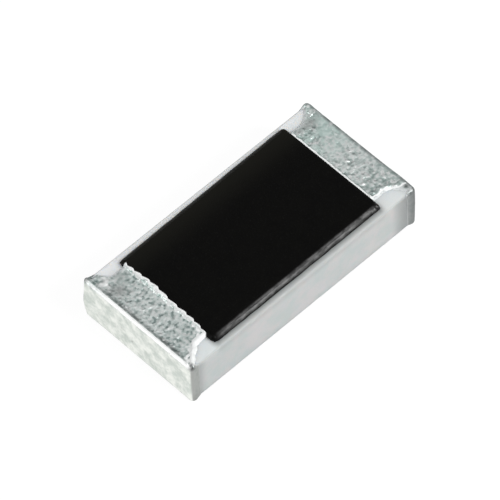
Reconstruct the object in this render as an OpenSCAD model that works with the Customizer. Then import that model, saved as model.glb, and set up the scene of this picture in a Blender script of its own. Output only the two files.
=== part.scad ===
// Thick-film chip resistor of 1206 size: a white alumina block with a printed resistor on top,
// sealed under glass and black resin, and a tin-plated terminal wrapped round each end.
// Lengths in millimetres. X runs along the chip, Y across it, Z up, and the board is z = 0.

/* [Chip] */
// Length over the two terminals
chip_length = 3.2; // [2.8:0.05:3.6]
// Width over the terminals
chip_width = 1.6; // [1.4:0.05:1.8]

/* [Alumina block] */
// Thickness of the block
ceramic_thickness = 0.539; // [0.4:0.001:0.6]
// Radius along the block's top and bottom edges
ceramic_edge = 0.02; // [0.015:0.005:0.06]
// Corner radius of the flat top that is left inside those edges
ceramic_corner = 0.015; // [0.01:0.005:0.04]

/* [Printed electrodes] */
// Fired thickness of the electrodes
electrode_thickness = 0.01; // [0.008:0.001:0.014]
// Width of the slope at the edge of an electrode
electrode_feather = 0.03; // [0.02:0.005:0.04]
// Bare alumina beside an electrode
electrode_side_gap = 0.2; // [0.15:0.01:0.25]
// Radius of the hollow where an electrode widens into the end band
electrode_flare = 0.12; // [0.06:0.01:0.15]
// Length of the electrode that lies under the resistor
electrode_overlap = 0.15; // [0.08:0.01:0.25]

/* [Resistor] */
// Fired thickness of the resistor
resistor_thickness = 0.012; // [0.008:0.001:0.016]
// Electrode left bare on each side of the resistor
resistor_side_gap = 0.09; // [0.07:0.01:0.15]
// Width of the ramp where the resistor climbs onto an electrode
resistor_ramp = 0.03; // [0.01:0.005:0.05]
// Width of the laser's trim cut
trim_kerf = 0.04; // [0.02:0.005:0.06]
// Place of the cut along the chip
trim_x = -0.3; // [-0.5:0.05:0]
// Depth of the cut across the resistor
trim_depth = 0.45; // [0.2:0.05:0.6]
// Length of the cut's second leg, along the resistor
trim_run = 0.5; // [0.2:0.05:0.7]

/* [Glass and resin] */
// Thickness of the glass
glass_thickness = 0.012; // [0.008:0.001:0.02]
// Glass past each edge of the resistor
glass_lap = 0.06; // [0.04:0.005:0.07]
// Resin over the highest glass
resin_cover = 0.024; // [0.015:0.001:0.04]
// Resin past the ends of the glass
resin_lap = 0.06; // [0.045:0.005:0.1]
// Bare alumina beside the resin
resin_side_gap = 0.076; // [0.05:0.002:0.1]
// Width of the resin's rounded shoulder
resin_shoulder = 0.07; // [0.04:0.005:0.08]
// Corner radius of the resin's flat top
resin_corner = 0.02; // [0.01:0.005:0.05]

/* [Terminals] */
// Top terminal, from the chip's end to the resin
top_land = 0.415; // [0.34:0.005:0.5]
// Bottom terminal, from the chip's end to its inner edge
bottom_land = 0.45; // [0.36:0.01:0.6]
// Reach of the end electrode over the block's edges
end_wrap = 0.06; // [0.04:0.01:0.15]
// Thickness of the end electrode
end_electrode_thickness = 0.004; // [0.003:0.001:0.01]
// Thickness of the nickel barrier
nickel_thickness = 0.004; // [0.003:0.001:0.01]
// Thickness of the tin plating
tin_thickness = 0.005; // [0.004:0.001:0.012]

/* [Hidden] */

// Flat steps in each quarter round
arc_steps = 4;
// Depth to which a film's shape runs on inside the block before the block is cut away from it
root = 0.1;

// Plating over the printed electrodes, and everything over the block's end
plating = nickel_thickness + tin_thickness;
skin = end_electrode_thickness + plating;

ceramic_length = chip_length - 2 * skin;
ceramic_width = chip_width - 2 * skin;
ceramic_end = ceramic_length / 2;
ceramic_bottom = electrode_thickness + skin;
ceramic_top = ceramic_bottom + ceramic_thickness;

electrode_half_width = ceramic_width / 2 - electrode_side_gap;
electrode_end = ceramic_end - ceramic_edge;
band_start = ceramic_end - end_wrap;
// The hollow stays on the flat of the block, clear of its round corners
flare = min(electrode_flare, electrode_side_gap - ceramic_edge - ceramic_corner);
flare_start = band_start - flare;

resin_length = chip_length - 2 * top_land;
resin_width = ceramic_width - 2 * resin_side_gap;
glass_length = resin_length - 2 * resin_lap;
resistor_length = glass_length - 2 * glass_lap;
resistor_width = 2 * (electrode_half_width - resistor_side_gap);
glass_width = resistor_width + 2 * glass_lap;
resin_rise = electrode_thickness + resistor_thickness + glass_thickness + resin_cover;

top_inner = resistor_length / 2 - electrode_overlap;
bottom_inner = chip_length / 2 - bottom_land + plating;

// Solid skin through rings of equally many points, each turning left round the way they advance
module loft(rings) {
    count = len(rings[0]);
    last = len(rings) - 1;
    sides = [
        for (k = [0:last - 1], i = [0:count - 1])
            [k * count + i, (k + 1) * count + i, (k + 1) * count + (i + 1) % count, k * count + (i + 1) % count]
    ];
    first_cap = [[for (i = [0:count - 1]) i]];
    last_cap = [[for (i = [count - 1:-1:0]) last * count + i]];
    polyhedron(points = [for (ring = rings) each ring], faces = concat(first_cap, sides, last_cap));
}

// Angles of a quarter round
function quarter() = [for (i = [0:arc_steps]) 90 * i / arc_steps];

// Level ring of a rectangle with round corners
function rounded_ring(length, width, radius, z) = [
    for (corner = [0:3], a = quarter())
        let (
            middle_x = (length / 2 - radius) * [1, -1, -1, 1][corner],
            middle_y = (width / 2 - radius) * [1, 1, -1, -1][corner],
            turn = a + 90 * corner
        )
        [middle_x + radius * cos(turn), middle_y + radius * sin(turn), z]
];

// Block with rounded edges, grown by a thickness on every side
module block(grow) {
    edge = ceramic_edge + grow;
    low = [for (a = quarter()) [edge * (1 - sin(a)), ceramic_bottom - grow + edge * (1 - cos(a))]];
    high = [for (a = quarter()) [edge * (1 - cos(a)), ceramic_top + grow - edge * (1 - sin(a))]];
    loft([
        for (p = concat(low, high))
            rounded_ring(
                ceramic_length + 2 * (grow - p[0]),
                ceramic_width + 2 * (grow - p[0]),
                ceramic_corner + edge - p[0],
                p[1]
            )
    ]);
}

// Places along a land, each with its half width and the share of the full height that it has there
function land_stations(inner, grow) = concat(
    [[inner - grow, electrode_half_width + grow, 0]],
    [[inner - grow + electrode_feather, electrode_half_width + grow, 1]],
    [
        for (a = quarter())
            [
                flare_start + (flare - grow) * sin(a),
                electrode_half_width + flare - (flare - grow) * cos(a),
                1
            ]
    ],
    [[electrode_end - electrode_feather, electrode_half_width + flare, 1]],
    [[electrode_end + grow, electrode_half_width + flare, 0]]
);

// Printed land at the right-hand end, with sloping edges, on a face of the block at z = 0
module land(inner, grow, rise, end_rise) {
    loft([
        for (s = land_stations(inner, grow))
            let (z = s[2] * rise + (1 - s[2]) * (s[0] > inner ? end_rise : 0), top = s[1] - electrode_feather)
            [
                [s[0], s[1], -root], [s[0], s[1], 0], [s[0], top, z],
                [s[0], -top, z], [s[0], -s[1], 0], [s[0], -s[1], -root]
            ]
    ]);
}

module top_land_body(grow, rise) {
    translate([0, 0, ceramic_top])
        land(top_inner, grow, rise, grow);
}

module bottom_land_body(grow, rise) {
    translate([0, 0, ceramic_bottom])
        mirror([0, 0, 1])
            land(bottom_inner, grow, rise, grow);
}

// All space to the right of x
module right_of(x) {
    translate([x, -chip_width, -chip_width])
        cube([chip_length, 2 * chip_width, 2 * chip_width + ceramic_top]);
}

// Everything inside the outer face of a terminal's layer: over_end is its height over the block's end,
// over_land its height over the printed lands, and bottom_rise its depth below the block there
module terminal_body(over_end, over_land, bottom_rise) {
    intersection() {
        right_of(band_start - over_land);
        union() {
            block(over_end);
            top_land_body(over_end, electrode_thickness + over_end);
            bottom_land_body(over_end, electrode_thickness + over_end);
        }
    }
    top_land_body(over_land, electrode_thickness + over_land);
    bottom_land_body(over_land, bottom_rise);
}

// The block and its printed electrodes at the right-hand end
module printed_end() {
    block(0);
    top_land_body(0, electrode_thickness);
    bottom_land_body(0, electrode_thickness);
}

// Strip across the chip whose top steps up where it lies on the electrodes
module stepped_strip(length, width, thickness) {
    high = ceramic_top + electrode_thickness + thickness;
    low = ceramic_top + thickness;
    base = ceramic_top - root;
    foot = top_inner - resistor_ramp;
    translate([0, width / 2, 0])
        rotate([90, 0, 0])
            linear_extrude(width)
                polygon([
                    [-length / 2, base], [length / 2, base], [length / 2, high], [top_inner, high],
                    [foot, low], [-foot, low], [-top_inner, high], [-length / 2, high]
                ]);
}

// L-shaped path of the trimming laser, from off the resistor's edge inward and then along
module trim_cut() {
    edge = -resistor_width / 2;
    start = edge - glass_lap / 2;
    height = root + resin_rise;
    translate([trim_x, start, ceramic_top - root])
        cube([trim_kerf, trim_depth + edge - start, height]);
    translate([trim_x, edge + trim_depth - trim_kerf, ceramic_top - root])
        cube([trim_run, trim_kerf, height]);
}

// The resin's outer shape: straight foot, rounded shoulder, flat top
module resin_body() {
    foot = [[0, ceramic_top - root]];
    shoulder = [for (a = quarter()) [resin_shoulder * (1 - cos(a)), ceramic_top + resin_rise * sin(a)]];
    loft([
        for (p = concat(foot, shoulder))
            rounded_ring(
                resin_length - 2 * p[0],
                resin_width - 2 * p[0],
                resin_corner + resin_shoulder - p[0],
                p[1]
            )
    ]);
}

module both_top_electrodes() {
    for (end = [0, 1])
        mirror([end, 0, 0])
            top_land_body(0, electrode_thickness);
}

module ceramic_substrate() {
    color("#dfe3e2")
        block(0);
}

module top_electrode() {
    color("#c9c4ba")
        difference() {
            top_land_body(0, electrode_thickness);
            block(0);
        }
}

module bottom_electrode() {
    color("#c9c4ba")
        difference() {
            bottom_land_body(0, electrode_thickness);
            block(0);
        }
}

module resistor_film() {
    color("#2c2a2e")
        difference() {
            stepped_strip(resistor_length, resistor_width, resistor_thickness);
            block(0);
            both_top_electrodes();
            trim_cut();
        }
}

module glass_coat() {
    color("#6d8a83")
        difference() {
            stepped_strip(glass_length, glass_width, resistor_thickness + glass_thickness);
            block(0);
            both_top_electrodes();
            stepped_strip(resistor_length, resistor_width, resistor_thickness);
            trim_cut();
        }
}

module resin_overcoat() {
    color("#141414")
        difference() {
            resin_body();
            block(0);
            both_top_electrodes();
            difference() {
                stepped_strip(glass_length, glass_width, resistor_thickness + glass_thickness);
                trim_cut();
            }
        }
}

module end_electrode() {
    color("#9a958c")
        difference() {
            intersection() {
                right_of(band_start);
                terminal_body(end_electrode_thickness, 0, electrode_thickness);
            }
            printed_end();
        }
}

module nickel_barrier() {
    color("#b3ae9d")
        difference() {
            terminal_body(
                end_electrode_thickness + nickel_thickness,
                nickel_thickness,
                electrode_thickness + nickel_thickness
            );
            terminal_body(end_electrode_thickness, 0, electrode_thickness);
            block(0);
            resin_body();
        }
}

module tin_plating() {
    color("#c4cac9")
        difference() {
            terminal_body(skin, plating, electrode_thickness + skin);
            terminal_body(
                end_electrode_thickness + nickel_thickness,
                nickel_thickness,
                electrode_thickness + nickel_thickness
            );
            block(0);
            resin_body();
        }
}

// The left-hand end is the right-hand end turned over
module left() {
    mirror([1, 0, 0])
        children();
}

ceramic_substrate();
left() top_electrode();  // top_electrode_left
top_electrode();  // top_electrode_right
left() bottom_electrode();  // bottom_electrode_left
bottom_electrode();  // bottom_electrode_right
resistor_film();
glass_coat();
resin_overcoat();
left() end_electrode();  // end_electrode_left
end_electrode();  // end_electrode_right
left() nickel_barrier();  // nickel_barrier_left
nickel_barrier();  // nickel_barrier_right
left() tin_plating();  // tin_plating_left
tin_plating();  // tin_plating_right
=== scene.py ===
# %% [markdown]
# # A surface-mount chip resistor
# The real thing is 3.2 mm long: a white alumina block, a printed resistor sealed under black resin, and a
# tin-plated terminal wrapped round each end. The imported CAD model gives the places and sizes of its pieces,
# so this lesson loads it first and measures from it.

# %% Load the frame
import math
from types import SimpleNamespace

import bmesh
import bpy
import numpy as np
from mathutils import Matrix, Vector, kdtree, noise


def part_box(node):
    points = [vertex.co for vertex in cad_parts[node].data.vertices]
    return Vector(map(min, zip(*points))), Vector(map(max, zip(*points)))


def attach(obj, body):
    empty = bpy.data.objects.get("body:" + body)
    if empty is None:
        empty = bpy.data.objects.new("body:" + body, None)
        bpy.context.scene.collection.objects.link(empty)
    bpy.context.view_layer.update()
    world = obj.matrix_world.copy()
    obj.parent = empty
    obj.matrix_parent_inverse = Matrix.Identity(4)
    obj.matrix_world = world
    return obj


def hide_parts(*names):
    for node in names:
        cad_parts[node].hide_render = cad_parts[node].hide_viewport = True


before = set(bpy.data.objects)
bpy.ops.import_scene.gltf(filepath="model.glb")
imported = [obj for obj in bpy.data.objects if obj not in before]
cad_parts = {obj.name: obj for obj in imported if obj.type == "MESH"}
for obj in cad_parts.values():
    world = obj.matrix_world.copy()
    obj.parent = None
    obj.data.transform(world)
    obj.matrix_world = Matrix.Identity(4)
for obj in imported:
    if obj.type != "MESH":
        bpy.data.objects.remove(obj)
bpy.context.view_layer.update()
MM = 0.001
print("CAD nodes:", len(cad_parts))

# %% [markdown]
# Blender works in metres, which are clumsy for a chip this small. All shapes below are worked out in
# millimetres with NumPy and are scaled once, when the mesh is made. The sizes come from the CAD nodes'
# boxes. The few that a box can't tell, such as how round the upright corners are at the top and at the
# foot, are named here or where they are first needed.

# %% Sizes of the chip
def box_mm(node):
    """Lowest and highest corner of a CAD node, in millimetres."""
    return [np.array(corner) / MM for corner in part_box(node)]


block_low, block_high = box_mm("ceramic_substrate")
resin_low, resin_high = box_mm("resin_overcoat")
tin_low, tin_high = box_mm("tin_plating_right")
block_half = (block_high - block_low) / 2
block_middle = (block_high + block_low) / 2
block_corner = 0.03
foot_corner = 0.04
resin_rise = resin_high[2] - resin_low[2]
end_tin = tin_high[0] - block_high[0]
foot_tin = block_low[2] - tin_low[2]
print("block half sizes, mm:", block_half.round(4), "tin on the ends, mm:", round(end_tin, 4))

# %% [markdown]
# Every piece here is a box whose edges have been worn or have flowed round. Bevelling a cube would give
# even, perfect edges, so instead each side of a box becomes a grid of points, the grids are welded where
# they meet, and the points are then moved by formulas. The welding is one call to NumPy's unique.

# %% Grids and welding
def spread(low, high, step):
    """Even grid lines from low to high, about this far apart."""
    return np.linspace(low, high, max(2, round((high - low) / step) + 1))


def bend_lines(radius, bends):
    """Grid lines on one side of a sharp edge that make equal turns once the edge is round."""
    return radius * np.tan(np.radians(45) * np.arange(1, bends + 1) / bends)


def edge_lines(half, radius, step, bends=6):
    """Grid lines across a box of this half size, with equal turns round both of its edges."""
    turn = bend_lines(radius, bends)
    flat = half - radius
    return np.concatenate([-flat - turn[::-1], spread(-flat, flat, step), flat + turn])


def box_sheets(xs, ys, zs, sides):
    """Grids on the named sides of a box, a small letter for the low side of an axis."""
    lines = {"x": xs, "y": ys, "z": zs}
    sheets = []
    for side in sides:
        axis = side.lower()
        first, second = [name for name in "xyz" if name != axis]
        place = dict(zip((first, second), np.meshgrid(lines[first], lines[second], indexing="ij")))
        place[axis] = np.full_like(place[first], lines[axis][0 if side.islower() else -1])
        sheets.append(np.stack([place["x"], place["y"], place["z"]], -1))
    return sheets


def weld(sheets):
    """Points and quads of several grids, joined where their points meet."""
    points = []
    quads = []
    start = 0
    for sheet in sheets:
        corner = np.arange(sheet[..., 0].size).reshape(sheet.shape[:2]) + start
        around = [corner[:-1, :-1], corner[1:, :-1], corner[1:, 1:], corner[:-1, 1:]]
        quads.append(np.stack(around, -1).reshape(-1, 4))
        points.append(sheet.reshape(-1, 3))
        start += corner.size
    points = np.vstack(points)
    _, first, number = np.unique(points.round(6), axis=0, return_index=True, return_inverse=True)
    return points[first], number.reshape(-1)[np.vstack(quads)]


def round_over(points, half, low_edge, high_edge):
    """Points of a sharp box moved onto one with round corners and edges, and their outward ways."""
    height = np.clip(points[:, 2] / half[2], -1, 1) / 2 + 0.5
    corner = (foot_corner + (block_corner - foot_corner) * height)[:, None]
    core = np.clip(points[:, :2], corner - half[:2], half[:2] - corner)
    away = points[:, :2] - core
    square = np.abs(away).max(1, keepdims=True)
    plan_way = away / np.maximum(np.hypot(*away.T), 1e-9)[:, None]
    edge = np.where(points[:, 2:] < 0, low_edge, high_edge)
    inset = np.hstack([corner - square, half[2] - np.abs(points[:, 2:])])
    kept = np.maximum(inset, edge)
    turn = (kept - inset) / np.hypot(*(kept - inset).T)[:, None]
    inset = kept - edge * turn
    plan = core + plan_way * (corner - inset[:, :1]) * (square > 0)
    up = np.sign(points[:, 2:])
    moved = np.hstack([plan, up * (half[2] - inset[:, 1:])])
    return moved, np.hstack([plan_way * turn[:, :1], up * turn[:, 1:]])


def roughness_at(points, period, octaves, seed):
    """Fractal noise, about -1 to 1, with this many millimetres from hump to hump."""
    shift = Vector((seed, 2.3 * seed, 4.1 * seed))
    return np.array([noise.fractal(Vector(p) / period + shift, 1, 2, octaves) for p in points])


sharp_angle = math.radians(75)


def make_piece(name, points, faces, node):
    """A smooth mesh object from millimetre points, riding on the chip in place of a CAD node."""
    mesh = bpy.data.meshes.new(name)
    mesh.from_pydata((points * MM).tolist(), [], faces.tolist())
    work = bmesh.new()
    work.from_mesh(mesh)
    bmesh.ops.recalc_face_normals(work, faces=work.faces)
    if work.calc_volume(signed=True) < 0:
        bmesh.ops.reverse_faces(work, faces=work.faces)
    open_edges = sum(not edge.is_manifold for edge in work.edges)
    for edge in work.edges:
        edge.smooth = edge.calc_face_angle(0) < sharp_angle
    for face in work.faces:
        face.smooth = True
    work.to_mesh(mesh)
    work.free()
    piece = bpy.data.objects.new(name, mesh)
    bpy.context.scene.collection.objects.link(piece)
    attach(piece, "root")
    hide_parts(node)
    print(name, "has", len(mesh.polygons), "faces and", open_edges, "open edges")
    return piece


# %% [markdown]
# The block is snapped from a larger plate of fired alumina, so its top and foot are flat, its edges are
# slightly round and its sides are a little rough. A bevel modifier and a displacement texture would do, but
# moving the points by noise along their own directions keeps the roughness on the sides only.

# %% Alumina block
block_step = 0.03
bare_foot = 0.020
bare_edge = 0.022
plan_grid = [edge_lines(half, block_corner, block_step) for half in block_half[:2]]
upright_grid = edge_lines(block_half[2], bare_foot, block_step)
block_points, block_quads = weld(box_sheets(*plan_grid, upright_grid, "xXyYzZ"))
block_points, block_out = round_over(block_points, block_half, bare_foot, bare_edge)
snapped = 1 - block_out[:, 2] ** 2
break_marks = 0.0012 * roughness_at(block_points, period=0.12, octaves=3, seed=1) - 0.0005
block_points += block_out * (snapped * break_marks)[:, None]
alumina_block = make_piece(
    "alumina_block", block_points + block_middle, block_quads, "ceramic_substrate"
)

# %% [markdown]
# The black resin is screen-printed as a thick paste and flows before it is cured. It therefore has a flat
# top, soft shoulders, a slightly wavy outline and corners that are rounder where the squeegee left the
# print. It is the upper half of a round-edged box, squeezed to its real height. The shoulder slumps along
# the chip's sides and stays fuller at its ends, where the plating later climbs it. Underneath, a shallow
# hollow leaves room for the glass and the electrodes that the resin covers.

# %% Black resin
resin_shoulder = 0.07
resin_step = 0.02
resin_bends = 9
side_slump = 1.28
end_slump = 3.0
square_corner = 6.0
round_corner = 2.2
hollow_depth = 0.036
hollow_rim = 0.06
resin_half = (resin_high - resin_low) / 2
resin_half[2] = resin_shoulder


def slump_at(reach):
    """How full the shoulder is: it slumps along the chip's sides and stands up at its ends."""
    square = reach ** 2
    return side_slump + (end_slump - side_slump) * square[..., 0] / np.maximum(square.sum(-1), 1e-12)


def corner_power(x, y):
    """How square the resin's corners are: all are round but the right-hand front one."""
    return np.where((x > 0) & (y < 0), square_corner, round_corner)


def plan_reach(reach, power):
    """How far out a point of the shoulder lies in plan, round corners of this power."""
    return (np.abs(reach) ** power[..., None]).sum(-1) ** (1 / power)


def resin_height(x, y):
    """Height of the resin's skin over the block."""
    reach = np.clip(np.abs(np.stack([x, y], -1)) - (resin_half[:2] - resin_shoulder), 0, None)
    plan = plan_reach(reach, corner_power(x, y))
    slump = slump_at(reach)
    return resin_rise * np.clip(1 - (plan / resin_shoulder) ** slump, 0, None) ** (1 / slump)


resin_grid = [edge_lines(half, resin_shoulder, resin_step, resin_bends) for half in resin_half[:2]]
rising = np.concatenate([[0], bend_lines(resin_shoulder, resin_bends)])
sharp_resin, resin_quads = weld(box_sheets(*resin_grid, rising, "xXyYzZ"))
core = np.clip(sharp_resin, resin_shoulder - resin_half, resin_half - resin_shoulder) * [1, 1, 0]
away = sharp_resin - core
plan = plan_reach(away[:, :2], corner_power(*sharp_resin.T[:2]))
slump = slump_at(away[:, :2])
resin_reach = (plan ** slump + away[:, 2] ** slump) ** (1 / slump)
resin_out = away / np.maximum(resin_reach, 1e-9)[:, None]
resin_points = core + resin_out * [resin_shoulder, resin_shoulder, resin_rise]
inside = (sharp_resin[:, 2] == 0) & (np.abs(sharp_resin[:, :2]) < resin_half[:2] - 1e-6).all(1)
cover = np.clip((resin_half[:2] - np.abs(sharp_resin[inside, :2])) / hollow_rim, 0, 1).min(1)
resin_points[inside] = sharp_resin[inside]
resin_points[inside, 2] = hollow_depth * cover ** 2
print("resin skin is", len(resin_points), "points")

# %% [markdown]
# A print's edge is never a ruled line. The same wave moves the points of the shoulder from its foot to its
# top, so that the outline wanders by a few micrometres. The print also spreads slightly towards one corner,
# and a slower wave leaves its top faintly uneven.

# %% Resin outline
front_spread = 0.006
back_spread = 0.017
back_slant = 0.0135
shoulder_part = (1 - np.clip(resin_out[:, 2], 0, 1)) * ~inside
wander = 0.004 * roughness_at(resin_points * [1, 1, 0], period=0.16, octaves=2, seed=5) - 0.002
resin_points[:, :2] += resin_out[:, :2] * (shoulder_part * wander)[:, None]
at_back = back_spread + back_slant * resin_points[:, 0]
widened = np.where(resin_points[:, 1] < 0, front_spread, at_back)
resin_points[:, 1] *= 1 + widened / resin_half[1]
slow = 0.0012 * roughness_at(resin_points, period=0.3, octaves=2, seed=9) - 0.0012
resin_points[:, 2] += slow * (resin_out[:, 2] > 0.7) * ~inside
black_resin = make_piece(
    "black_resin", resin_points + [0, 0, resin_low[2]], resin_quads, "resin_overcoat"
)

# %% [markdown]
# A terminal is a cap of tin round the end of the block: a pad on top and one below, a flare from each pad
# to the block's full width, the end face, and two short side flaps. Its grid is the end of the block's box,
# left open at the inner side, with a strip of rows for each pad. Each row of a pad is as wide as the print
# below it, and the rows are closest at the border on the resin.

# %% Terminal grid
block_edge = 0.014
block_foot = 0.018
corner_bends = 8
flat_half = block_half[:2] - block_corner
pad_front = 0.598
pad_back = 0.635
back_power = 1.4
foot_flares = (0, 1, back_power)
waves_from = 1.24
waves_fade = 0.04
fine_strip = 0.07
fine_rows = 12
straight_from = 1.2
flare_rows = 16
pad_columns = 161
land_step = 0.009
foot_step = 0.012
wrap_step = 0.004
end_step = 0.0095


def pad_reach(x, turn, columns, flares, ragged):
    """Place across the chip of a pad's columns, which flare to the sides as turn goes from 0 to 1."""
    back_start, back_end, front_power = flares
    at_front = columns < 0
    pad_half = np.where(at_front, pad_front, pad_back)
    waves = ragged * (0.6 * np.sin(70 * x) + 0.4 * np.sin(131 * x))
    waves = waves * np.clip((x - waves_from) / waves_fade, 0, 1)
    waves = waves * at_front * columns ** 6 * (1 - turn ** 3)
    back_turn = np.clip((turn - back_start) / (back_end - back_start), 0, 1)
    turn = np.where(at_front, turn ** front_power, back_turn ** back_power)
    return columns * (pad_half + (flat_half[1] - pad_half) * turn + waves)


def pad_sheet(form, border, flares, height, columns, step):
    """Grid of a pad from its border to the wrap, on the block's box."""
    start = border(columns * np.where(columns < 0, pad_front, pad_back))
    strip = fine_strip * (np.arange(fine_rows + 1)[:, None] / fine_rows) ** 1.5 + start
    flare_start = form.wrap_start - form.flare
    straight_rows = round((flare_start - straight_from) / step)
    share = np.linspace(0, 1, straight_rows + 1)[1:, None]
    straight = strip[-1] + share * (flare_start - strip[-1])
    turn = np.linspace(0, 1, flare_rows + 1)[1:, None] + 0 * columns
    x = np.vstack([strip, straight, flare_start + turn * form.flare])
    turn = np.vstack([0 * strip, 0 * straight, turn])
    y = pad_reach(x, turn, columns, flares, form.ragged)
    return np.stack([x, y, np.full_like(x, height)], -1)


def straight_border(y):
    """Border of the pads under the chip."""
    return np.full_like(y, tin_low[0])


def terminal_grid(form):
    """Welded grid of a right-hand terminal on the block's sharp box."""
    columns = np.linspace(-1, 1, pad_columns)
    turn = bend_lines(block_corner, corner_bends)
    xs = np.concatenate([spread(form.wrap_start, flat_half[0], wrap_step), flat_half[0] + turn])
    ys = np.concatenate([-flat_half[1] - turn[::-1], columns * flat_half[1], flat_half[1] + turn])
    zs = edge_lines(block_half[2], block_foot, end_step)
    top = pad_sheet(form, form.border, form.flares, block_half[2], columns, land_step)
    foot = pad_sheet(form, straight_border, foot_flares, -block_half[2], columns, foot_step)
    return weld(box_sheets(xs, ys, zs, "XyYzZ") + [top, foot])


print("pads reach", pad_front, "mm to the front and", pad_back, "mm to the back")

# %% [markdown]
# Plating creeps over the edge of the resin. On the left terminal it climbs well up the resin's shoulder and
# ends in small scallops; on the right one it stops low, in a nearly straight bead, and its thick part stops
# short of the front, in a rim with only a thin skin beyond it. Each border is a formula of the place on the
# chip, so that it can be changed without redrawing anything.

# %% Plating borders
scallop_reach = 0.026
scallop_length = 0.118
scallop_depth = 0.024
corner_draw = 0.018
bead_reach = 0.008
rim_half = 0.575
rim_flare = 0.105
rim_flare_start = 1.32
rim_flare_length = 0.24
rim_ripple = 0.006


def soft_step(t):
    """Rises from 0 to 1 and is level at both."""
    t = np.clip(t, 0, 1)
    return t ** 2 * (3 - 2 * t)


def scalloped_border(y):
    """Left terminal: slow waves, scallops that creep forward and drop back, and a round front corner."""
    slow = 0.012 * np.cos(4.1 * y + 2.2) + 0.006 * np.cos(11 * y + 0.5)
    step = np.mod(-y / scallop_length + 0.35 * np.sin(5 * y), 1)
    scallop = scallop_depth * step * (1 - step ** 6)
    corner = corner_draw * np.clip(-y / pad_front, 0, 1) ** 14
    return resin_high[0] - scallop_reach + slow - scallop + corner


def bead_border(y):
    """Right terminal: a low bead, almost straight."""
    return resin_high[0] - bead_reach + 0.0015 * np.sin(9 * y) + 0.001 * np.sin(31 * y)


def drawn_rim(x):
    """Right terminal: how far to the front its thick tin reaches, which is less than the thin tin does."""
    flare = rim_flare * soft_step((x - rim_flare_start) / rim_flare_length)
    return rim_half + flare + rim_ripple * np.sin(60 * x)


for border in (scalloped_border, bead_border):
    reach = resin_high[0] - border(np.linspace(-pad_front, pad_back, 200))
    print(border.__name__, "covers the resin by", reach.min().round(3), "to", reach.max().round(3), "mm")

# %% [markdown]
# The tin is a height over the block: full in the middle of a face, thinning to nothing at its free borders.
# A KD tree gives each point's distance to the nearest border point, which is simpler than working out the
# outline's shape face by face. A point that a border doesn't concern counts as a millimetre from it.

# %% Ground under a terminal
far_off = 1.0


def border_points(quads):
    """Numbers of the points on the open border of a grid."""
    edges = np.sort(np.vstack([quads[:, [i, (i + 1) % 4]] for i in range(4)]), axis=1)
    pairs, count = np.unique(edges, axis=0, return_counts=True)
    return np.unique(pairs[count == 1])


def distance_to(targets, points):
    """Distance from each point to the nearest target."""
    tree = kdtree.KDTree(len(targets))
    for number, target in enumerate(targets):
        tree.insert(target, number)
    tree.balance()
    return np.array([tree.find(point)[2] for point in points])


def ragged_wrap(points, form):
    """How far the border of the side flaps wanders, fading out towards the end face."""
    near_border = np.clip((flat_half[0] - points[:, 0]) / (flat_half[0] - form.wrap_start), 0, 1)
    on_side = np.clip((np.abs(points[:, 1]) - flat_half[1]) / block_corner, 0, 1)
    drift = 0.005 * roughness_at(points * [0, 1, 1], period=0.12, octaves=3, seed=form.seed) - 0.005
    reach = np.where(points[:, 1] > 0, form.back_reach, form.front_reach)
    return (drift - reach) * near_border * on_side


def terminal_ground(form):
    """The block's skin under a right-hand terminal, and how far each point is from the tin's borders."""
    sharp, quads = terminal_grid(form)
    base, out = round_over(sharp, block_half, block_foot, block_edge)
    base[:, 0] += ragged_wrap(base, form)
    on_top = out[:, 2] > 0.999
    from_resin = np.where(on_top, sharp[:, 0] - form.border(sharp[:, 1]), far_off)
    edge = border_points(quads)
    free = edge[from_resin[edge] > 1e-4]
    from_edge = distance_to(base[free], base)
    from_rim = np.where(on_top & (base[:, 1] < 0), from_edge, far_off)
    if form.rim_line:
        from_rim = np.where(base[:, 1] < 0, base[:, 1] + form.rim_line(base[:, 0]), far_off)
    print("terminal grid has", len(base), "points,", len(edge), "of them on its border")
    return SimpleNamespace(
        base=base, out=out, quads=quads, edge=edge, free=free, on_top=on_top,
        from_resin=from_resin, from_edge=from_edge, from_rim=from_rim,
    )


# %% [markdown]
# Surface tension draws the metal up into a fat rim along its border, a ridge along the end's upper edge and
# a few beads. They are humps added to the height. Near the resin, the tin rests on the resin's skin instead
# of on the block.

# %% Height of the tin
land_tin = end_tin + 0.007
band_tin = land_tin + 0.004
band_fade = 0.06
end_swell = 0.006
land_feather = 0.035
side_feather = 0.045
rim_tin = 0.010
rim_middle = 0.04
bead_tin = 0.024
bead_middle = 0.02
ridge_inset = 0.062
ridge_middle = 0.03
lip_rise = 0.014
lip_crest = 0.02
lip_fall = 0.07
lip_over_resin = 0.002
climb_length = 0.2
climb_blend = 0.012


def ease(t):
    """Rises from 0 to 1 and levels off, like metal drawn round by its own surface."""
    return np.sin(np.radians(90) * np.clip(t, 0, 1))


def hump(distance, middle):
    """A round ridge that starts at distance 0 and is highest at the middle."""
    return np.sin(np.radians(90) * np.clip(distance / middle, 0, 2)) ** 2


def plain_height(ground, form):
    """Height of the tin on each face of the block, with the swell and the lump of the end face."""
    base, out = ground.base, ground.out
    on_band = ease((base[:, 0] - form.wrap_start + band_fade / 2) / band_fade)
    flat_tin = np.where(out[:, 2] > 0, land_tin + (band_tin - land_tin) * on_band, foot_tin)
    swell = end_swell * (1 - (base[:, 2] / block_half[2]) ** 2) * np.abs(out[:, 0])
    across, up, width, tall, rise = form.lump
    lump = rise * np.exp(-((base[:, 1] - across) / width) ** 2 - ((base[:, 2] - up) / tall) ** 2)
    full = end_tin + swell + (flat_tin - end_tin) * out[:, 2] ** 2
    return full + lump * (1 - out[:, 2] ** 2)


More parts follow.
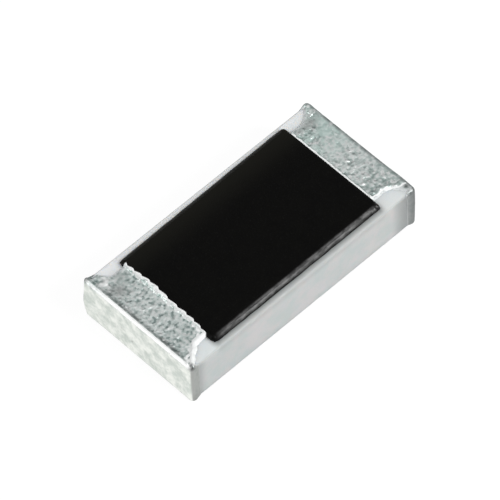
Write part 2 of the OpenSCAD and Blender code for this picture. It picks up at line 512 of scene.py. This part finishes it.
def fat_height(ground, form, beads):
    """Height added by the fat rims, the bead along the resin, the beads and the ridge."""
    base = ground.base
    rims = hump(ground.from_rim, rim_middle) + 0.15 * hump(ground.from_edge, rim_middle)
    fat = rim_tin * ground.on_top * rims
    fat = fat + form.bead * hump(ground.from_resin, bead_middle) + bead_tin * beads
    upper = np.clip(ground.out[:, 2], 0, 1)
    return fat + form.ridge * upper * hump(base[:, 0] - block_half[0] + ridge_inset, ridge_middle)


def climb_height(ground, form):
    """Height of the tin where it climbs the resin, and nothing elsewhere."""
    base = ground.base
    grain = 1 + 0.3 * roughness_at(base * [1, 1, 0], period=0.07, octaves=2, seed=form.seed + 5)
    lip = form.lip * grain * ease(ground.from_resin / lip_rise)
    lip = lip * (1 - ease((ground.from_resin - lip_crest) / lip_fall))
    climb = np.minimum(resin_height(base[:, 0], base[:, 1]) + lip, resin_rise + lip_over_resin)
    return np.where(ground.from_resin < climb_length, climb, 0)


def tin_height(ground, form, beads):
    """Height of a terminal's tin over the block."""
    on_side = np.abs(ground.out[:, 1]) > 0.5
    side_edge = soft_step(ground.from_edge / side_feather)
    land_edge = ease(ground.from_edge / land_feather)
    height = plain_height(ground, form) + fat_height(ground, form, beads)
    height = height * np.where(on_side, side_edge, land_edge)
    climb = climb_height(ground, form)
    blend = climb_blend * (ground.from_resin < climb_length) * ease(ground.from_resin / lip_crest)
    height = (height + climb + np.sqrt((height - climb) ** 2 + blend ** 2)) / 2
    height[ground.free] = 0
    return height


print("tin, mm: on the ends", round(end_tin, 4), "on the pads", round(land_tin, 4))

# %% [markdown]
# The material has to know where the tin is thin, fat, beaded, dull or darkly spotted. An image of that
# would have to be painted anew for every change of shape, so the mesh carries those shares on its points
# instead, as attributes.

# %% Shares of the tin
bead_radius = 0.032
dark_spot_radius = 0.026
dull_radius = 0.08
rim_fade = 0.01
side_fade = 0.05
back_fade = 0.1
land_fade = 0.012


def spots(points, places, radius):
    """Soft round spots of this radius, at places along and across the chip, each with its strength."""
    away = [((points[:, :2] - place[:2]) ** 2).sum(1) / radius ** 2 for place in places]
    return np.max([place[2] * np.exp(-share) for place, share in zip(places, away)], axis=0)


def tin_shares(ground, form):
    """Shares from 0 to 1 of what the tin is like at each point."""
    base, out = ground.base, ground.out
    upper = np.clip(out[:, 2], 0, 1)
    beads = spots(base, form.beads, bead_radius) * upper
    stain = spots(base, form.stains, dark_spot_radius) * upper
    dull = spots(base, form.dull, dull_radius) * upper
    wobble = roughness_at(base * [1, 1, 0], period=0.06, octaves=2, seed=form.seed + 9)
    rim_width = form.rim_width * (1 + 0.45 * wobble)
    rim = np.minimum(ground.from_resin, ground.from_rim / form.rim_spread)
    fat = ground.on_top * np.clip(1.5 - rim / rim_width, 0, 1)
    fat = fat * np.clip(1 + ground.from_rim / rim_fade, 0, 1)
    fade = np.where(np.abs(out[:, 1]) > 0.5, side_fade, land_fade)
    fade = np.where(ground.on_top & (base[:, 1] > 0), back_fade, fade)
    beyond_rim = ground.on_top * np.clip(-ground.from_rim / rim_fade, 0, 1)
    thin = np.clip(np.maximum(1 - ground.from_edge / fade, beyond_rim), 0, 1)
    thin = thin * (1 - beads) * (1 - stain)
    return {"thin": thin, "fat": fat, "bead": beads, "stain": stain, "dull": dull}


# %% [markdown]
# The grain of the tin goes on last, and leaves the rims and the rolled edge smooth. A second, inner sheet a
# little below the first closes the shell, so that the mesh is a solid skin of metal.

# %% Tin caps
wall = 0.003
border_clear = 0.02
edge_roll = 0.03
coarse_grain = 0.0010
fine_grain = 0.0020
sunk_grain = 0.0008


def tin_cap(name, side, form):
    """A terminal's skin of tin: side is -1 for the left end and 1 for the right."""
    ground = terminal_ground(form)
    base, out = ground.base, ground.out
    shares = tin_shares(ground, form)
    height = tin_height(ground, form, shares["bead"])
    clear = np.clip(np.minimum(ground.from_edge, ground.from_resin) / border_clear, 0, 1)
    rolled = np.clip((base - block_half) / edge_roll + 2.5, 0, 1)[:, [0, 2]].prod(1)
    calm = clear * (1 - 0.85 * np.max([shares["fat"], rolled, shares["bead"]], axis=0))
    grain = fine_grain * roughness_at(base, period=0.045, octaves=2, seed=form.seed + 3)
    grain = grain + coarse_grain * roughness_at(base, period=0.11, octaves=2, seed=form.seed + 7)
    settled = np.where(out[:, 2] < -0.5, 0.15, 0.3 + 0.7 * np.abs(out[:, 2]))
    skin = base + out * (height + (grain - sunk_grain) * calm * settled)[:, None]
    lining = base + out * (height - wall * clear)[:, None]
    lined = np.arange(len(base)) + len(base)
    lined[ground.edge] = ground.edge
    faces = np.vstack([ground.quads, lined[ground.quads][:, ::-1]])
    used, faces = np.unique(faces, return_inverse=True)
    points = np.vstack([skin, lining])[used] * [side, 1, 1] + block_middle
    node = "tin_plating_left" if side < 0 else "tin_plating_right"
    cap = make_piece(name, points, faces.reshape(-1, 4), node)
    for share, values in shares.items():
        attribute = cap.data.attributes.new(share, "FLOAT", "POINT")
        attribute.data.foreach_set("value", np.tile(values, 2)[used])
    return cap


# %% [markdown]
# No two terminals are plated alike. The left one has a scalloped lip, a ridge along its end, a lump at its
# back corner, beads where its border turned and dark spots; the right one is plainer. Places are given as
# for a right-hand terminal, since the left one is made the same way and then mirrored.

# %% The two terminals
left_form = SimpleNamespace(
    border=scalloped_border,
    rim_line=None,
    wrap_start=tin_high[0] - 0.095,
    flare=0.225,
    flares=(0.245, 0.69, 1.3),
    back_reach=0.055,
    front_reach=0.035,
    rim_width=0.036,
    rim_spread=2.2,
    lip=0.006,
    bead=0.004,
    ridge=0.012,
    seed=11,
    ragged=0.012,
    lump=(0.76, -0.06, 0.13, 0.17, 0.02),
    beads=[
        (1.468, 0.595, 1), (1.446, 0.613, 0.8), (1.432, 0.658, 0.6), (1.497, 0.622, 0.6),
        (1.40, -0.65, 0.8), (1.44, -0.69, 1), (1.475, -0.725, 0.8), (1.498, -0.745, 1), (1.518, -0.758, 1),
    ],
    stains=[
        (1.463, 0.637, 0.45), (1.57, 0.765, 0.7), (1.54, 0.765, 0.8), (1.51, 0.765, 0.8),
        (1.475, 0.765, 0.8), (1.45, 0.77, 0.6), (1.557, -0.765, 1), (1.578, -0.79, 0.9),
    ],
    dull=[(1.42, 0.44, 1), (1.48, 0.49, 0.8), (1.30, 0.56, 0.4)],
)
right_form = SimpleNamespace(
    border=bead_border,
    rim_line=drawn_rim,
    wrap_start=tin_high[0] - 0.09,
    flare=0.17,
    flares=(0, 1, 2.5),
    back_reach=0.035,
    front_reach=0.035,
    rim_width=0.024,
    rim_spread=0.7,
    lip=0.010,
    bead=0.008,
    ridge=0,
    seed=23,
    ragged=0.004,
    lump=(-0.58, 0.2, 0.2, 0.25, 0.012),
    beads=[(1.55, 0.735, 0.5), (1.53, 0.68, 0.4)],
    stains=[(1.545, -0.71, 1)],
    dull=[(1.28, 0.60, 0.7), (1.36, 0.59, 1), (1.43, 0.58, 0.8)],
)
tin_left = tin_cap("tin_cap_left", -1, left_form)
tin_right = tin_cap("tin_cap_right", 1, right_form)

# %% [markdown]
# Materials are small programs in nodes. To keep them readable, a class wraps a node's output, so that
# `1 - mask` or `0.4 * grain + 0.3` adds Math nodes by itself. Every other node comes from one method.

# %% Shader wires
class Wire:
    """A node's output socket, on which sums, differences and products add Math nodes."""

    def __init__(self, socket):
        self.socket = socket

    @staticmethod
    def node(tree, kind, settings=None, inputs=None, output=0):
        """A new node: its settings first, then the values or wires of its inputs."""
        made = tree.nodes.new(kind)
        for name, value in (settings or {}).items():
            if name == "stops":
                stops = made.color_ramp.elements
                while len(stops) < len(value):
                    stops.new(0.5)
                for stop, (position, shade) in zip(stops, value):
                    stop.position = position
                    stop.color = (shade, shade, shade, 1)
            else:
                setattr(made, name, value)
        for name, value in (inputs or {}).items():
            if isinstance(value, Wire):
                tree.links.new(value.socket, made.inputs[name])
            else:
                made.inputs[name].default_value = value
        return Wire(made.outputs[output]) if made.outputs else None

    def math(self, operation, first, second):
        """A Math node of this wire's tree."""
        return Wire.node(
            self.socket.id_data, "ShaderNodeMath", {"operation": operation}, {0: first, 1: second}
        )

    def __add__(self, other):
        return self.math("ADD", self, other)

    def __sub__(self, other):
        return self.math("SUBTRACT", self, other)

    def __rsub__(self, other):
        return self.math("SUBTRACT", other, self)

    def __mul__(self, other):
        return self.math("MULTIPLY", self, other)

    def __abs__(self):
        return self.math("ABSOLUTE", self, 0)

    __radd__ = __add__
    __rmul__ = __mul__


def new_finish(name):
    """A material with an empty node tree."""
    material = bpy.data.materials.new(name)
    material.use_nodes = True
    material.node_tree.nodes.clear()
    return material


def place_mm(material):
    """Place on the chip, in millimetres."""
    tree = material.node_tree
    place = Wire.node(tree, "ShaderNodeTexCoord", output="Object")
    inputs = {0: place, "Scale": 1 / MM}
    return Wire.node(tree, "ShaderNodeVectorMath", {"operation": "SCALE"}, inputs)


def speckle(place, per_mm, detail=2.0, roughness=0.5):
    """Soft noise from 0 to 1, with this many humps to a millimetre."""
    inputs = {"Vector": place, "Scale": per_mm, "Detail": detail, "Roughness": roughness}
    return Wire.node(place.socket.id_data, "ShaderNodeTexNoise", None, inputs)


def along(place, axis):
    """One coordinate of a place."""
    return Wire.node(place.socket.id_data, "ShaderNodeSeparateXYZ", None, {0: place}, axis)


def share_of(material, name):
    """A share from 0 to 1 that the mesh carries on its points."""
    return Wire.node(material.node_tree, "ShaderNodeAttribute", {"attribute_name": name}, None, "Fac")


def between(value, low, high):
    """Smoothly from 0 at low to 1 at high."""
    inputs = {"Value": value, "From Min": low, "From Max": high}
    settings = {"interpolation_type": "SMOOTHSTEP"}
    return Wire.node(value.socket.id_data, "ShaderNodeMapRange", settings, inputs)


def ramp(value, *stops):
    """The value led through grey stops of position and shade."""
    return Wire.node(value.socket.id_data, "ShaderNodeValToRGB", {"stops": stops}, {0: value})


def mixed(factor, first, second):
    """A colour between two others."""
    colours = [c if isinstance(c, Wire) else (*c, 1) for c in (first, second)]
    inputs = {0: factor, 6: colours[0], 7: colours[1]}
    return Wire.node(factor.socket.id_data, "ShaderNodeMix", {"data_type": "RGBA"}, inputs, 2)


def finish_surface(material, looks, relief, depth):
    """A Principled surface with these socket values, whose relief is this many millimetres deep."""
    tree = material.node_tree
    bump = Wire.node(tree, "ShaderNodeBump", None, {"Distance": depth * MM, "Height": relief})
    surface = Wire.node(tree, "ShaderNodeBsdfPrincipled", None, looks | {"Normal": bump})
    Wire.node(tree, "ShaderNodeOutputMaterial", None, {"Surface": surface})
    print(material.name, "has", len(tree.nodes), "nodes")
    return material


# %% [markdown]
# Fired alumina is matt, cool white and slightly see-through at its thin edges, so light goes in and comes
# out again nearby: subsurface scattering over about a tenth of a millimetre. Faint clouds of warmer and
# cooler white, and fine grain in the roughness, keep it from looking like plaster. The mottled sides are
# painted a little lighter than the top, a painted light. The sides grow greyer towards the terminals, and
# the strip in front of the resin and the upper front side are darker near the resin. The front top edge is
# painted grey, a painted shade that dims the lamp's glint on it. The strip behind the resin and its back
# edge are painted whitest, a painted light.

# %% Alumina finish
grey_alumina = (0.50, 0.52, 0.515)


def alumina_finish():
    """The block's material."""
    material = new_finish("fired_alumina")
    place = place_mm(material)
    cloud = ramp(speckle(place, 2.2, 3), (0.35, 0), (0.65, 1))
    grain = speckle(place, 70, 3, 0.6)
    along_chip = along(place, 0)
    from_middle = abs(along_chip)
    to_right = between(along_chip, -1, 1)
    across = along(place, 1)
    height = along(place, 2)
    on_side = between(abs(across), block_high[1] - 0.02, block_high[1] - 0.004)
    white = mixed(cloud, (0.77, 0.815, 0.82), (0.80, 0.815, 0.805))
    mottle = ramp(speckle(place, 4.5, 4, 0.6), (0.38, 0), (0.62, 1))
    # Painted light: the sides are a little lighter than the top. Their mottle is their own.
    white = mixed(on_side, white, mixed(mottle, (0.775, 0.835, 0.825), (0.885, 0.87, 0.87)))
    # Painted light: the strip behind the resin and its back edge are painted whiter.
    white = mixed(between(across, 0.6, block_high[1] - 0.01), white, (0.94, 0.945, 0.94))
    colour = mixed(0.25 * ramp(grain, (0.3, 0), (0.75, 1)), white, (0.66, 0.69, 0.68))
    # The sides grow greyer towards the terminals, a little more at the right-hand end.
    end_nearness = from_middle + 0.04 * cloud + 0.08 * to_right
    greying = between(end_nearness, block_high[0] - 0.24, block_high[0] - 0.03)
    colour = mixed(greying * on_side, colour, grey_alumina)
    # The strip in front of the resin and the upper front side below it are darker near the resin.
    darker_by_resin = between(across, -block_high[1] - 0.043, -resin_high[1] + 0.011) * between(across, -0.5, -0.6)
    darker_by_resin = darker_by_resin * between(from_middle, resin_high[0] + 0.05, resin_high[0] - 0.04)
    darker_by_resin = darker_by_resin * between(height, block_high[2] - 0.12, block_high[2] - 0.005)
    colour = mixed(darker_by_resin * 0.85, colour, (0.25, 0.26, 0.255))
    # Painted shade: the front top edge is painted grey, which dims the lamp's glint along it.
    painted_edge_shade = between(across, -block_high[1] + 0.03, -block_high[1] + 0.008)
    painted_edge_shade = painted_edge_shade * between(height, block_high[2] - 0.03, block_high[2] - 0.008)
    colour = mixed(painted_edge_shade * 0.5, colour, grey_alumina)
    looks = {
        "Base Color": colour,
        "Roughness": 0.6 + 0.25 * grain,
        "Subsurface Weight": 0.6,
        "Subsurface Radius": (1.0, 0.9, 0.8),
        "Subsurface Scale": 0.12 * MM,
        "Specular IOR Level": 0.4,
    }
    return finish_surface(material, looks, grain, 0.0015)


# %% [markdown]
# The resin is loaded with carbon black and a little mineral filler. It is nearly black, a trace browner
# towards the back, with a few paler specks and fine pimples. An uneven gloss breaks the highlight on its
# front shoulder into streaks.

# %% Resin finish
def resin_finish():
    """The resin's material."""
    material = new_finish("carbon_black_resin")
    tree = material.node_tree
    place = place_mm(material)
    along_chip = along(place, 0)
    across = along(place, 1)
    height = along(place, 2)
    fine = speckle(place, 45, 3, 0.6)
    coarse = speckle(place, 9, 2)
    filler = ramp(speckle(place, 95, 1), (0.62, 0), (0.75, 1))
    colour = mixed(coarse, (0.0012, 0.0012, 0.0012), (0.003, 0.0029, 0.0024))
    colour = mixed(filler * 0.25, colour, (0.03, 0.032, 0.03))
    colour = mixed(between(across, 0.3, 0.75), colour, (0.010, 0.0098, 0.0075))
    shoulder = between(height, resin_high[2], resin_high[2] - 0.009) * between(across, -0.61, -0.66)
    drawn = Wire.node(tree, "ShaderNodeVectorMath", {"operation": "MULTIPLY"}, {0: place, 1: (0.5, 1, 1)})
    streak = ramp(speckle(drawn, 24, 2, 0.6), (0.36, 0.3), (0.62, 1))
    gloss = shoulder * streak * between(along_chip, -1.25, -0.85) * 0.95
    looks = {
        "Base Color": colour,
        "Roughness": 0.35 + 0.2 * fine,
        "Specular IOR Level": 0.06,
        "Coat Weight": gloss,
        "Coat Roughness": 0.34,
    }
    return finish_surface(material, looks, 0.6 * fine + 0.4 * coarse, 0.006)


# %% [markdown]
# Matt tin is electroplated in coarse grains. Part of the sparkle is real relief in the mesh; the nodes add
# the finer grain between, with painted shade in its pits and painted glints on its bright facets. One colour
# ramp couldn't hold all of that, so the colours are laid over one another like coats of paint, each with a
# mask of its own.

# %% Tin on the pads
def tin_places(material):
    """Coordinates, noises and masks that the coats share."""
    place = place_mm(material)
    along_chip = along(place, 0)
    across = along(place, 1)
    to_right = between(along_chip, -1, 1)
    drawn_up = (speckle(place, 20, 1) - 0.5) * (2.0 - 1.6 * to_right)
    return SimpleNamespace(
        along_chip=along_chip,
        across=across,
        height=along(place, 2),
        to_right=to_right,
        coarse=speckle(place, 17, 1),
        fine=speckle(place, 28, 0.5),
        patch=speckle(place, 9, 3, 0.6),
        smooth=between(speckle(place, 2.5, 1) + 0.1 * across, 0.55, 0.75),
        on_side=between(abs(across), tin_high[1] - 0.025, tin_high[1] - 0.008),
        fat=between(share_of(material, "fat") + drawn_up, 0.3, 0.7),
        bead=between(share_of(material, "bead"), 0.15, 0.6),
    )


def pad_coats(material, tin):
    """Colour of the grains, the painted shade in pits, the painted glints and the dull places of a pad."""
    middle = between(abs(tin.across), 0.5, 0.1)
    tone = ramp(0.65 * tin.coarse + 0.35 * tin.fine + 0.10 * middle, (0.32, 0), (0.66, 1))
    colour = mixed(tone, (0.47, 0.575, 0.55), (0.93, 1.0, 0.98))
    # Painted shade in the pits, and painted glints on the bright facets.
    painted_pit_shade = between(tin.fine, 0.43, 0.29) * (1 - tin.smooth) * (0.7 - 0.5 * tin.to_right)
    colour = mixed(painted_pit_shade, colour, (0.22, 0.30, 0.29))
    painted_glints = between(tin.fine, 0.55, 0.63) * (0.75 + 0.25 * tin.to_right)
    colour = mixed(painted_glints, colour, (0.97, 1.0, 0.99))
    tint = tin.to_right * between(tin.across, 0, 0.3) * between(tin.patch, 0.40, 0.55)
    colour = mixed(tint * 0.5, colour, (0.72, 0.93, 0.87))
    return mixed(share_of(material, "dull") * 0.7, colour, (0.52, 0.52, 0.515))


# %% [markdown]
# Along its edges the plating is thicker and smoother. A painted white line, a painted highlight, follows the
# ridge of the left-hand end, with a painted dark gutter behind it, a painted shade. The edge of the
# right-hand end is painted dark, a painted dark reflection, and the fat rims and the beads are painted
# whitest, a painted highlight.

# %% Tin on the edges
def edge_coats(tin, colour):
    """The colour with painted highlights on the ridge, the rims and the beads, and painted shade in the
    gutter and on the right-hand end's edge, laid over it.
    """
    left_end = -tin_high[0]
    right_end = tin_high[0]
    # Painted highlight: a white line along the ridge of the left-hand end.
    ridge = between(tin.along_chip, left_end + 0.046, left_end + 0.034)
    ridge = ridge * (1 - 0.5 * between(tin.across, 0.45, 0.75))
    colour = mixed(ridge, colour, (0.95, 0.96, 0.95))
    # Painted shade: a dark gutter behind the ridge.
    painted_gutter_shade = between(tin.along_chip, left_end + 0.105, left_end + 0.07) * (1 - ridge)
    painted_gutter_shade = painted_gutter_shade * between(tin.across, 0.75, 0.2) * between(tin.across, -0.85, -0.45)
    painted_gutter_shade = painted_gutter_shade * (0.4 + between(tin.patch, 0.35, 0.6))
    colour = mixed(painted_gutter_shade * 0.55, colour, (0.20, 0.22, 0.215))
    # Painted dark reflection along the edge of the right-hand end.
    painted_dark_reflection = between(tin.along_chip, right_end - 0.06, right_end - 0.02)
    painted_dark_reflection = painted_dark_reflection * (0.3 + 0.5 * between(tin.patch, 0.35, 0.6))
    colour = mixed(painted_dark_reflection, colour, (0.22, 0.24, 0.24))
    # Painted highlight: the fat rims and the beads are painted near white.
    colour = mixed(tin.fat, colour, (0.97, 0.985, 0.98))
    return mixed(tin.bead, colour, (0.98, 1.0, 0.99))


# %% [markdown]
# The end faces are blotched with a warmer white. On the sides the tin is thin and grey; the right-hand side
# is painted darker towards its end, and the sides and the ends are painted darker towards the board, a
# painted shade. Where its borders fade out the alumina below shows through, and on the top by the right-hand
# end that is painted darker towards the end, also a painted shade.

# %% Tin finish
def end_coats(material, tin, colour):
    """The colour with the end faces, the sides, the painted shade by the board and the dark spots laid over
    it.
    """
    from_middle = abs(tin.along_chip)
    on_end = between(from_middle, tin_high[0] - 0.015, tin_high[0] - 0.006)
    on_end = on_end * between(tin.height, block_high[2] + 0.014, block_high[2] + 0.002)
    blotch = ramp(tin.patch, (0.36, 0), (0.64, 1))
    colour = mixed(on_end, colour, mixed(blotch, (0.61, 0.66, 0.615), (0.90, 0.92, 0.875)))
    # Painted shade: the right-hand side darkens towards its end.
    right_side_painted_shade = mixed(between(tin.along_chip, 1.44, 1.55), (0.36, 0.37, 0.37), (0.165, 0.175, 0.175))
    colour = mixed(tin.on_side * 0.9, colour, mixed(tin.to_right, (0.35, 0.36, 0.345), right_side_painted_shade))
    # Painted shade: darker towards the board at the ends and on the sides.
    around = between(from_middle, tin_high[0] - 0.05, tin_high[0] - 0.02)
    foot = between(tin.height, 0.045, 0.005) * around
    foot = foot + tin.on_side * between(tin.height, 0.2, 0.03) * 0.5
    colour = mixed(foot * 0.6, colour, (0.2, 0.21, 0.2))
    # Dark spots at listed places.
    return mixed(share_of(material, "stain") * 0.85, colour, (0.10, 0.11, 0.11))


def tin_finish():
    """The material of both tin caps."""
    material = new_finish("matt_tin")
    tin = tin_places(material)
    colour = end_coats(material, tin, edge_coats(tin, pad_coats(material, tin)))
    bare = between(share_of(material, "thin") + 0.4 * tin.patch, 0.7, 1.15)
    # Painted shade: the bare top darkens towards the right-hand end.
    bare_top_painted_shade = mixed(between(tin.along_chip, 1.46, 1.58), (0.79, 0.82, 0.825), (0.45, 0.47, 0.47))
    looks = {
        "Base Color": mixed(bare, colour, mixed(tin.on_side, bare_top_painted_shade, grey_alumina)),
        # Fat rims and beads are less metallic, so their painted white shows as a painted highlight.
        "Metallic": (1 - bare) * (1 - tin.fat) * (1 - 0.6 * tin.bead),
        "Roughness": 0.36 + 0.2 * tin.patch - 0.12 * tin.bead,
    }
    on_land = between(abs(tin.along_chip), tin_high[0] - 0.06, tin_high[0] - 0.09)
    rough = on_land * (1 - tin.on_side) * (1 - tin.fat) * (1 - tin.bead) * (1 - 0.75 * tin.smooth)
    return finish_surface(material, looks, (tin.coarse + 0.25 * tin.fine - 0.625) * rough, 0.028)


# %% [markdown]
# The layers under the tin and the resin aren't seen on a finished chip, but they are in the model, and show
# when a piece is hidden or cut. Each printed or plated layer is a pair of shades with its own grain.

# %% Finishes of the hidden layers
def layer_finish(name, dark, pale, per_mm, gloss, metal):
    """The material of a layer that is seen only when a piece is hidden or cut."""
    material = new_finish(name)
    place = place_mm(material)
    grain = speckle(place, per_mm, 3, 0.6)
    cloud = speckle(place, per_mm / 9, 2)
    colour = mixed(0.6 * grain + 0.4 * cloud, dark, pale)
    looks = {"Base Color": colour, "Roughness": gloss + 0.25 * grain, "Metallic": metal}
    return finish_surface(material, looks, grain, 0.003)


def both_ends(*layers):
    """Nodes of these layers at both ends of the chip."""
    return [layer + end for layer in layers for end in ("_left", "_right")]


silver = layer_finish("silver_print_finish", (0.50, 0.47, 0.42), (0.80, 0.78, 0.74), 60, 0.3, 1.0)
paste = layer_finish("end_paste_finish", (0.34, 0.33, 0.31), (0.60, 0.58, 0.55), 40, 0.5, 1.0)
nickel = layer_finish("nickel_finish", (0.50, 0.48, 0.43), (0.70, 0.67, 0.61), 80, 0.25, 1.0)
film = layer_finish("ruthenium_film", (0.03, 0.03, 0.035), (0.11, 0.10, 0.12), 50, 0.45, 0.0)
glass = layer_finish("sealing_glass", (0.13, 0.22, 0.19), (0.24, 0.36, 0.32), 30, 0.1, 0.0)
hidden_layers = [
    (silver, both_ends("top_electrode", "bottom_electrode")),
    (paste, both_ends("end_electrode")),
    (nickel, both_ends("nickel_barrier")),
    (film, ["resistor_film"]),
    (glass, ["glass_coat"]),
]
for finish, nodes in hidden_layers:
    for node in nodes:
        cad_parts[node].data.materials.clear()
        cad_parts[node].data.materials.append(finish)
alumina_block.data.materials.append(alumina_finish())
black_resin.data.materials.append(resin_finish())
tin_look = tin_finish()
for cap in (tin_left, tin_right):
    cap.data.materials.append(tin_look)

# %% [markdown]
# The chip lies on white. The floor's own colour is a mid grey, so that it doesn't throw too much light back
# up, and for the camera and for reflections it glows just enough to look white. The chip's shadow stays.

# %% Floor
seen_by = ("Is Camera Ray", "Is Glossy Ray", "Is Transmission Ray")
floor_glow = 0.90
floor_half = 300 * MM
floor_level = -0.002 * MM


def floor_finish():
    """The floor's material."""
    material = new_finish("white_floor")
    tree = material.node_tree
    paper = speckle(place_mm(material), 0.4)
    shade = mixed(paper, (0.165, 0.165, 0.165), (0.175, 0.175, 0.175))
    plain = {"Base Color": shade, "Roughness": 1.0, "Specular IOR Level": 0.0}
    glowing = plain | {"Emission Color": (1, 1, 1, 1), "Emission Strength": floor_glow}
    surfaces = [Wire.node(tree, "ShaderNodeBsdfPrincipled", None, look) for look in (plain, glowing)]
    rays = [Wire.node(tree, "ShaderNodeLightPath", output=ray) for ray in seen_by]
    seen = rays[0] + rays[1] + rays[2]
    either = Wire.node(tree, "ShaderNodeMixShader", None, {0: seen, 1: surfaces[0], 2: surfaces[1]})
    Wire.node(tree, "ShaderNodeOutputMaterial", None, {"Surface": either})
    return material


floor_mesh = bpy.data.meshes.new("floor")
plan_corners = ((-1, -1), (1, -1), (1, 1), (-1, 1))
corners = [(x * floor_half, y * floor_half, floor_level) for x, y in plan_corners]
floor_mesh.from_pydata(corners, [], [(0, 1, 2, 3)])
floor_mesh.materials.append(floor_finish())
floor = bpy.data.objects.new("floor", floor_mesh)
bpy.context.scene.collection.objects.link(floor)
print("floor is", round(2 * floor_half / MM), "mm wide")

# %% [markdown]
# Three softboxes, a large panel and a dim room light the chip. What a metal looks like depends on what it
# mirrors, so each lamp has a job: the softbox in front, on the right, draws the resin's shoulder and the
# rims that face the front; the one behind, on the left, lights the lips that face it; the one over the
# camera fills the top, and the panel overhead is mirrored in the pads. Each is given by its radiance and
# its solid angle, and the lamp's power follows from them.

# %% Light
def softbox(name, direction, radiance, spread_sr, distance=90 * MM):
    """A square area lamp seen from the chip at this radiance and solid angle."""
    side = distance * math.sqrt(spread_sr)
    lamp = bpy.data.lights.new(name, "AREA")
    lamp.size = side
    lamp.energy = radiance * math.pi * side * side
    box = bpy.data.objects.new(name, lamp)
    towards = Vector(direction).normalized()
    box.location = towards * distance
    box.rotation_euler = towards.to_track_quat("Z", "Y").to_euler()
    box.visible_camera = False
    bpy.context.scene.collection.objects.link(box)
    print(name, "gives the top", round(radiance * spread_sr / math.pi * towards.z, 3))


softbox("front_right_softbox", (0.30, -0.75, 0.60), 10.5, 0.22)
softbox("back_left_softbox", (-0.75, 0.40, 0.53), 2.2, 0.45)
softbox("camera_softbox", (-0.45, -0.35, 0.82), 0.6, 0.60)
softbox("overhead_panel", (0.38, 0.44, 0.81), 0.42, 1.50)
room = bpy.data.worlds.new("room")
room.use_nodes = True
room_light = 0.15
room.node_tree.nodes["Background"].inputs["Color"].default_value = (room_light, room_light, room_light, 1)
bpy.context.scene.world = room
bpy.context.scene.view_settings.view_transform = "Standard"

# %% [markdown]
# The photograph was taken through a long lens, from above the left-hand front corner, with the chip turned
# a little in the frame. The camera's matrix is built from those angles: its own X, Y and Z axes are the
# columns.

# %% Camera
image_width = 500
pixels_per_mm = 97.6
camera_distance = 70.0
aim_height = 0.3
pixels_left = 0.62
pixels_up = 0.35
azimuth, elevation, roll = (math.radians(angle) for angle in (-41.33, 54.43, -3.33))
back = Vector(
    (
        math.sin(azimuth) * math.cos(elevation),
        -math.cos(azimuth) * math.cos(elevation),
        math.sin(elevation),
    )
)
level = Vector((math.cos(azimuth), math.sin(azimuth), 0))
upright = back.cross(level)
right = math.cos(roll) * level + math.sin(roll) * upright
up = back.cross(right)
aim = Vector((0, 0, aim_height)) - (pixels_left * right - pixels_up * up) / pixels_per_mm
lens = bpy.data.cameras.new("camera")
lens.sensor_width = 36
lens.lens = lens.sensor_width * pixels_per_mm * camera_distance / image_width
lens.clip_start = 1 * MM
camera = bpy.data.objects.new("camera", lens)
bpy.context.scene.collection.objects.link(camera)
turned = Matrix((right, up, back)).transposed().to_4x4()
camera.matrix_world = Matrix.Translation((aim + back * camera_distance) * MM) @ turned
bpy.context.scene.camera = camera
print("focal length, mm:", round(lens.lens, 1))
